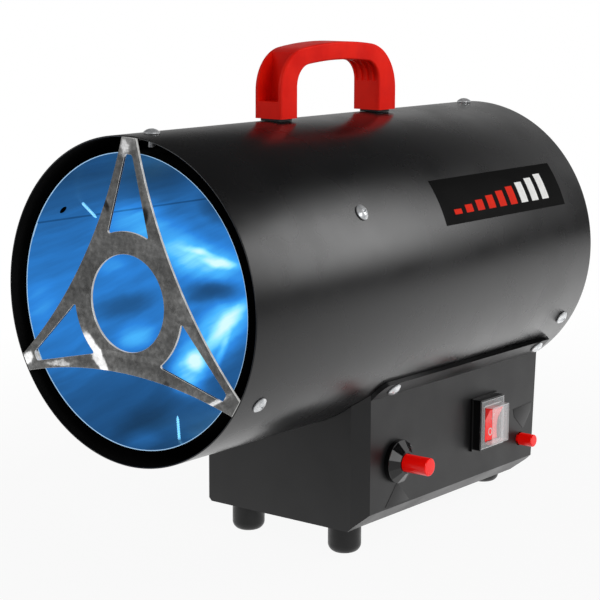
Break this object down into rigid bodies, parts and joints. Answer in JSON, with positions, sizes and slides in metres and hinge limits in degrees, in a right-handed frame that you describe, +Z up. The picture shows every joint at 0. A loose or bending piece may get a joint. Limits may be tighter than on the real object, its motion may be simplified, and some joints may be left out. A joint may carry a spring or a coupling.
{
  "type": "portable gas heater",
  "caption": "Forced-air gas heater: a steel tube with a star grille in front and a fan and burner inside, on a moulded base with a handle, ignition button, rocker switch and gas button.",
  "frame": {"origin": "on the floor, under the middle of the tube", "axes": "+Z up, -Y towards the hot air outlet, +X the side with the controls; the tube leans 4.1 degrees nose up"},
  "size_m": [0.184, 0.3592, 0.304],
  "materials": {
    "tube_paint": "satin charcoal powder coat",
    "heated_steel": "rolled steel, blued by heat",
    "grille_steel": "dark mottled sheet steel with bright cut edges",
    "zinc": "bright zinc plate",
    "black_wire": "black enamel",
    "base_plastic": "finely textured dark grey moulding",
    "handle_plastic": "smooth red moulding with soft edges",
    "control_black": "smooth black moulding",
    "red_plastic": "glossy red moulding",
    "clear_plastic": "clear soft splash cap",
    "spring_steel": "spring wire",
    "brass": "machined brass",
    "white_ceramic": "glazed white",
    "probe_steel": "stainless wire and sheath",
    "lead_rubber": "silicone lead",
    "core_steel": "laminated core steel",
    "copper": "enamelled copper winding",
    "bearing_bronze": "sintered bronze",
    "fan_aluminium": "pressed sheet",
    "foot_rubber": "moulded rubber"
  },
  "bodies": {
    "housing": {"base_front": "base_plastic", "base_left": "base_plastic", "base_rear": "base_plastic", "base_right": "base_plastic", "base_screws": "zinc", "base_tray": "base_plastic", "burner_cup": "heated_steel", "burner_plate": "heated_steel", "cable_gland": "base_plastic", "combustion_liner": "heated_steel", "electrode": "probe_steel", "electrode_insulator": "white_ceramic", "foot_nuts": "zinc", "foot_screws": "zinc", "front_feet": "foot_rubber", "front_grille": "grille_steel", "gas_inlet": "brass", "gas_jet": "brass", "gas_pipe": "brass", "gas_valve": "brass", "gland_nut": "base_plastic", "grille_screws": "zinc", "guard_screws": "zinc", "handle": "handle_plastic", "handle_nuts": "zinc", "handle_pads": "base_plastic", "handle_screws": "zinc", "igniter_body": "control_black", "igniter_nut": "control_black", "igniter_spring": "spring_steel", "ignition_lead": "lead_rubber", "liner_screws": "zinc", "liner_spacers": "zinc", "mixing_tube": "zinc", "motor_bearings": "bearing_bronze", "motor_bolts": "zinc", "motor_brackets": "zinc", "motor_coil": "copper", "motor_nuts": "zinc", "motor_spacers": "zinc", "motor_stator": "core_steel", "outer_shell": "tube_paint", "pipe_nuts": "brass", "rear_feet": "foot_rubber", "rear_guard": "black_wire", "switch_cap": "clear_plastic", "switch_housing": "control_black", "switch_terminals": "zinc", "thermocouple": "probe_steel", "thermocouple_lead": "probe_steel", "valve_spring": "spring_steel"},
    "fan_rotor": {"fan": "fan_aluminium", "motor_shaft": "core_steel", "motor_rotor": "core_steel"},
    "ignition_plunger": {"ignition_button": "red_plastic"},
    "gas_plunger": {"gas_button": "red_plastic"},
    "rocker": {"switch_rocker": "red_plastic"}
  },
  "joints": [
    {"name": "fan_spin", "type": "hinge", "parent": "housing", "child": "fan_rotor", "pos_m": [0, 0.14413, 0.15663], "axis": [0, 0.9974, -0.0716], "continuous": true},
    {"name": "ignition_press", "type": "slide", "parent": "housing", "child": "ignition_plunger", "axis": [-1, 0, 0], "range_m": [0, 0.007], "stiffness_N_per_m": 600, "springref_m": -0.002, "deforming": ["igniter_spring"]},
    {"name": "gas_press", "type": "slide", "parent": "housing", "child": "gas_plunger", "axis": [-1, 0, 0], "range_m": [0, 0.005], "stiffness_N_per_m": 500, "springref_m": -0.002, "deforming": ["valve_spring"]},
    {"name": "rocker_tip", "type": "hinge", "parent": "housing", "child": "rocker", "pos_m": [0.0655, 0.08365, 0.0543], "axis": [0, -0.9974, 0.0716], "range_deg": [0, 22]}
  ]
}
